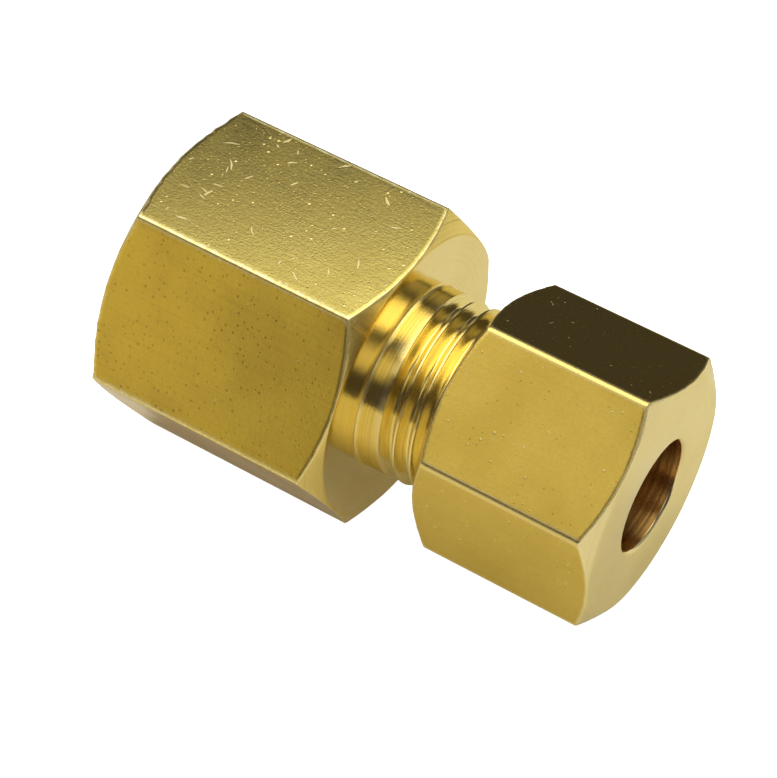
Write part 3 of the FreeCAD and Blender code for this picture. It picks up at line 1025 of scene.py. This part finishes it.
even_nut = even_angles(NUT_HEX["turned"])
nut_hex = chamfered_rings(NUT_HEX, (nut_angles, nut_radii), (NUT_MOUTH, NUT_END), nut_finish)
nut_mouth = turned_rings(even_nut, [(NUT_MOUTH, NUT_MOUTH_RADIUS), (NUT_MOUTH, MOUTH_FACE_RING)], FACE)
hole_profile = [
    (NUT_END, END_FACE_RING),
    (NUT_END, TUBE_HOLE + HOLE_BEVEL),
    (NUT_END - HOLE_BEVEL, TUBE_HOLE),
    (shoulder, TUBE_HOLE),
    (cone_start, NUT_CREST),
]
nut_hole = turned_rings(even_nut, hole_profile, FACE, edge=HOLE_EDGE)
for _, _, radius, painted, _ in nut_hole:
    if radius[0] <= TUBE_HOLE + HOLE_BEVEL / 8:
        painted[:] = [BORED] * COLUMNS
nut_skin = skin("nut_skin", [nut_mouth + nut_hex + nut_hole])

# %% Compression nut: its thread and the finished piece
NUT_GROOVE_DEPTH = 0.618 * MM
FLANK_PLAY = 0.04 * MM
nut_groove_half = PITCH * 3 / 8 + FLANK_PLAY
nut_sizes = {
    "Pitch": PITCH,
    "Start angle": NUT_HEX["turned"],
    "Groove middle": FIRST_GROOVE + 2.5 * PITCH,
    "Low end": NUT_MOUTH,
    "High end": cone_start,
    "Crest radius": NUT_CREST,
    "Groove depth": NUT_GROOVE_DEPTH,
    "Half width at crest": nut_groove_half,
    "Half width at floor": nut_groove_half - NUT_GROOVE_DEPTH * math.tan(THIRTY),
    "No groove at": cone_start - 0.6 * MM,
    "Full groove at": cone_start - 1.4 * MM,
    "Mouth at": NUT_MOUTH,
    "Mouth radius": NUT_MOUTH_RADIUS,
    "Side": -1.0,
}
nut_thread = thread_mesh("nut_thread", threaded, nut_sizes)
nut = closed_piece("compression_nut_brass", nut_skin, [(nut_thread, THREADED)], FINISHES)

# %% [markdown]
# ## Ferrule
#
# The ferrule is a short sleeve of softer brass with a long taper that enters the seat and a short one at
# the back. It is fully turned, so one closed profile is enough.

# %% Ferrule
SLEEVE_BORE = 3.2 * MM
SLEEVE_RADIUS = 4.35 * MM
NOSE_RADIUS = 3.55 * MM
TAIL_RADIUS = 3.75 * MM
TAIL_RUN = 0.6 * MM
SLEEVE_EDGE = 0.03 * MM
nose_run = (SLEEVE_RADIUS - NOSE_RADIUS) / math.tan(THIRTY)
bore_seam = (sleeve_low.x + 1.0 * MM, SLEEVE_BORE)
sleeve_profile = [
    bore_seam,
    (sleeve_low.x, SLEEVE_BORE),
    (sleeve_low.x, NOSE_RADIUS),
    (sleeve_low.x + nose_run, SLEEVE_RADIUS),
    (sleeve_high.x - TAIL_RUN, SLEEVE_RADIUS),
    (sleeve_high.x, TAIL_RADIUS),
    (sleeve_high.x, SLEEVE_BORE),
    bore_seam,
]
sleeve_rings = turned_rings(even_angles(0.0), sleeve_profile, TURNED, edge=SLEEVE_EDGE)
sleeve = closed_piece("ferrule_brass", skin("sleeve_skin", [sleeve_rings]), [], FINISHES)

# %% [markdown]
# ## Onto the part
#
# Each made piece takes the place of one imported node and rides on that node's body, so the nut and the
# ferrule move with their joints.

# %% Ride and replace
for piece, body, node, slot in (
    (connector, "connector", "connector_body", "body_brass"),
    (nut, "nut", "compression_nut", "nut_brass"),
    (sleeve, "sleeve", "ferrule", "ferrule_brass"),
):
    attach(piece, body)
    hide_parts(node)
    print(piece.name, "rides on", body)

# %% [markdown]
# ## Floor
#
# The fitting stands on a plain pale sheet. A brass flat that faces the far side mirrors the far end of
# the sheet, and in a real studio that end lies in the dark behind the light. So the sheet is dark there
# for reflections only, and the camera itself sees it pale all over.

# %% Floor
FLOOR_HALF = 1.2
DARK_FROM, DARK_TO = 0.045, 0.085
PAPER, DARK_PAPER = (0.85, 0.85, 0.83), (0.04, 0.04, 0.04)
CAMERA_GLOW, GLOW, DARK_GLOW = 0.85, 0.12, -0.1
GLOW_WHITE = (1.0, 1.0, 0.99, 1.0)
floor_height = body_low.z
corners = ((-1, -1), (1, -1), (1, 1), (-1, 1))
places = [(x * FLOOR_HALF, y * FLOOR_HALF, floor_height) for x, y in corners]
floor_mesh = bpy.data.meshes.new("studio_floor")
floor_mesh.from_pydata(places, [], [(0, 1, 2, 3)])
floor = placed("studio_floor", floor_mesh)
paper = bpy.data.materials.new("pale_paper")
sheet = empty_nodes(paper)
spot = add(sheet, "ShaderNodeTexCoord").outputs["Object"]
spot_x, spot_y, _ = add(sheet, "ShaderNodeSeparateXYZ", {0: spot}).outputs
behind = smooth(sheet, calc(sheet, "SUBTRACT", spot_y, spot_x), DARK_FROM, DARK_TO)
to_camera = add(sheet, "ShaderNodeLightPath").outputs["Is Camera Ray"]
hidden = calc(sheet, "MULTIPLY", behind, calc(sheet, "SUBTRACT", 1.0, to_camera))
matt = add(sheet, "ShaderNodeBsdfDiffuse", {"Color": blend(sheet, hidden, PAPER, DARK_PAPER)})
own_glow = calc(sheet, "MULTIPLY_ADD", hidden, DARK_GLOW, GLOW)
glow = calc(sheet, "MULTIPLY_ADD", to_camera, CAMERA_GLOW, own_glow)
lift = add(sheet, "ShaderNodeEmission", {"Color": GLOW_WHITE, "Strength": glow})
both = add(sheet, "ShaderNodeAddShader", {0: matt.outputs[0], 1: lift.outputs[0]})
add(sheet, "ShaderNodeOutputMaterial", {0: both.outputs[0]})
floor_mesh.materials.append(paper)
print("floor at", round(floor_height / MM, 3), "mm")

# %% [markdown]
# ## Light
#
# Brass is a mirror, so the light is made for its reflections. Lamps would show as hard spots. A white
# tent lights it instead: a large soft sheet overhead, faint walls behind, a wall at the front left and
# two small panels over the front, with dim bluish gaps between. The tent is a world that depends only on
# direction, and the camera sees it as plain pale.


# %% One panel of the tent
NEARLY_UP = 0.9
GRAZING_DEPTH = 0.05


def panel_mask(tree, heading, facing, turned, sides):
    """1 inside a rectangle of light seen from the fitting, 0 outside, with soft edges. facing is the
    way to it, turned its turn about that way in degrees, and sides (left, right, low, high, softness)
    are tangents of the angles from there."""
    ahead = Vector(facing).normalized()
    level_way = Vector((0, 1, 0)) if abs(ahead.z) > NEARLY_UP else Vector((0, 0, 1))
    right_way = level_way.cross(ahead).normalized()
    right_way.rotate(Matrix.Rotation(math.radians(turned), 3, ahead))
    up_way = ahead.cross(right_way)
    depth, right_part, up_part = (
        vector_calc(tree, "DOT_PRODUCT", heading, tuple(way))["Value"]
        for way in (ahead, right_way, up_way)
    )
    safe = calc(tree, "MAXIMUM", depth, GRAZING_DEPTH)
    left, right_side, low, high, soft = sides
    mask = calc(tree, "GREATER_THAN", depth, GRAZING_DEPTH)
    for part, first, last in ((right_part, left, right_side), (up_part, low, high)):
        position = calc(tree, "DIVIDE", part, safe)
        for edge, way in ((first, soft), (last, -soft)):
            mask = calc(tree, "MULTIPLY", mask, smooth(tree, position, edge - way, edge + way))
    return mask


print("panels are soft rectangles by direction")

# %% The tent
TENT_GAPS = (0.06, 0.06, 0.11, 1.0)
LAMP_WHITE = (1.0, 0.995, 0.98, 1.0)
SEEN_PALE = (0.98, 0.98, 0.975, 1.0)
TENT_PANELS = [
    ("overhead", (0.0, 0.0, 1.0), 31.0, (-0.9, 0.9, -0.22, 0.935, 0.11), 1.85),
    ("back_wall", (-0.35, 0.82, 0.45), 0.0, (-0.5, 0.5, -0.12, 0.12, 0.1), 0.35),
    ("back_right_wall", (0.75, 0.66, 0.1), 0.0, (-0.85, 0.75, -0.35, 0.35, 0.2), 0.3),
    ("front_left_wall", (-0.62, -0.78, 0.0), 0.0, (-0.8, 0.33, -0.2, 0.3, 0.16), 0.65),
    ("front_left_panel", (-0.38, -0.73, 1.0), 0.0, (-0.16, 0.16, -0.12, 0.12, 0.05), 0.7),
    ("front_right_panel", (0.48, -0.53, 0.7), 0.0, (-0.42, 0.42, -0.2, 0.25, 0.15), 0.8),
]
world = bpy.data.worlds.new("studio_tent")
bpy.context.scene.world = world
sky = empty_nodes(world)
heading = add(sky, "ShaderNodeTexCoord").outputs["Generated"]
level = 0.0
for title, facing, turned_by, sides, strength in TENT_PANELS:
    mask = panel_mask(sky, heading, facing, turned_by, sides)
    level = calc(sky, "MULTIPLY_ADD", mask, strength, level)
lamps = add(sky, "ShaderNodeBackground", {"Color": LAMP_WHITE, "Strength": level})
gaps = add(sky, "ShaderNodeBackground", {"Color": TENT_GAPS})
tent = add(sky, "ShaderNodeAddShader", {0: lamps.outputs[0], 1: gaps.outputs[0]})
pale = add(sky, "ShaderNodeBackground", {"Color": SEEN_PALE, "Strength": 1.0})
from_camera = add(sky, "ShaderNodeLightPath").outputs["Is Camera Ray"]
split = add(sky, "ShaderNodeMixShader", {0: from_camera, 1: tent.outputs[0], 2: pale.outputs[0]})
add(sky, "ShaderNodeOutputWorld", {0: split.outputs[0]})
print("tent panels:", [row[0] for row in TENT_PANELS])

# %% [markdown]
# ## Camera
#
# The camera stands high on the front right and looks down at the fitting, a little rolled, with a
# longish lens so that the hexagons keep their shape.

# %% Camera
AZIMUTH, ELEVATION, ROLL = (math.radians(a) for a in (31.328, 48.823, 1.905))
DISTANCE = 162.13 * MM
TARGET = Vector((-2.267, 0.0, -1.968)) * MM
LENS, SENSOR = 131.4, 36.0
CLIP_NEAR, CLIP_FAR = 0.01, 10.0
level_part = math.cos(ELEVATION)
back = Vector((math.sin(AZIMUTH) * level_part, -math.cos(AZIMUTH) * level_part, math.sin(ELEVATION)))
right = Vector((0.0, 0.0, 1.0)).cross(back).normalized()
up = back.cross(right)
axes = (
    right * math.cos(ROLL) + up * math.sin(ROLL),
    up * math.cos(ROLL) - right * math.sin(ROLL),
    back,
)
camera_data = bpy.data.cameras.new("camera")
camera_data.lens = LENS
camera_data.sensor_width = SENSOR
camera_data.clip_start = CLIP_NEAR
camera_data.clip_end = CLIP_FAR
camera = placed("camera", camera_data)
camera.matrix_world = Matrix.Translation(TARGET + back * DISTANCE) @ Matrix(axes).transposed().to_4x4()
bpy.context.scene.camera = camera
bpy.context.scene.view_settings.view_transform = "Standard"
print("camera at", [round(value / MM, 1) for value in camera.matrix_world.translation], "mm")
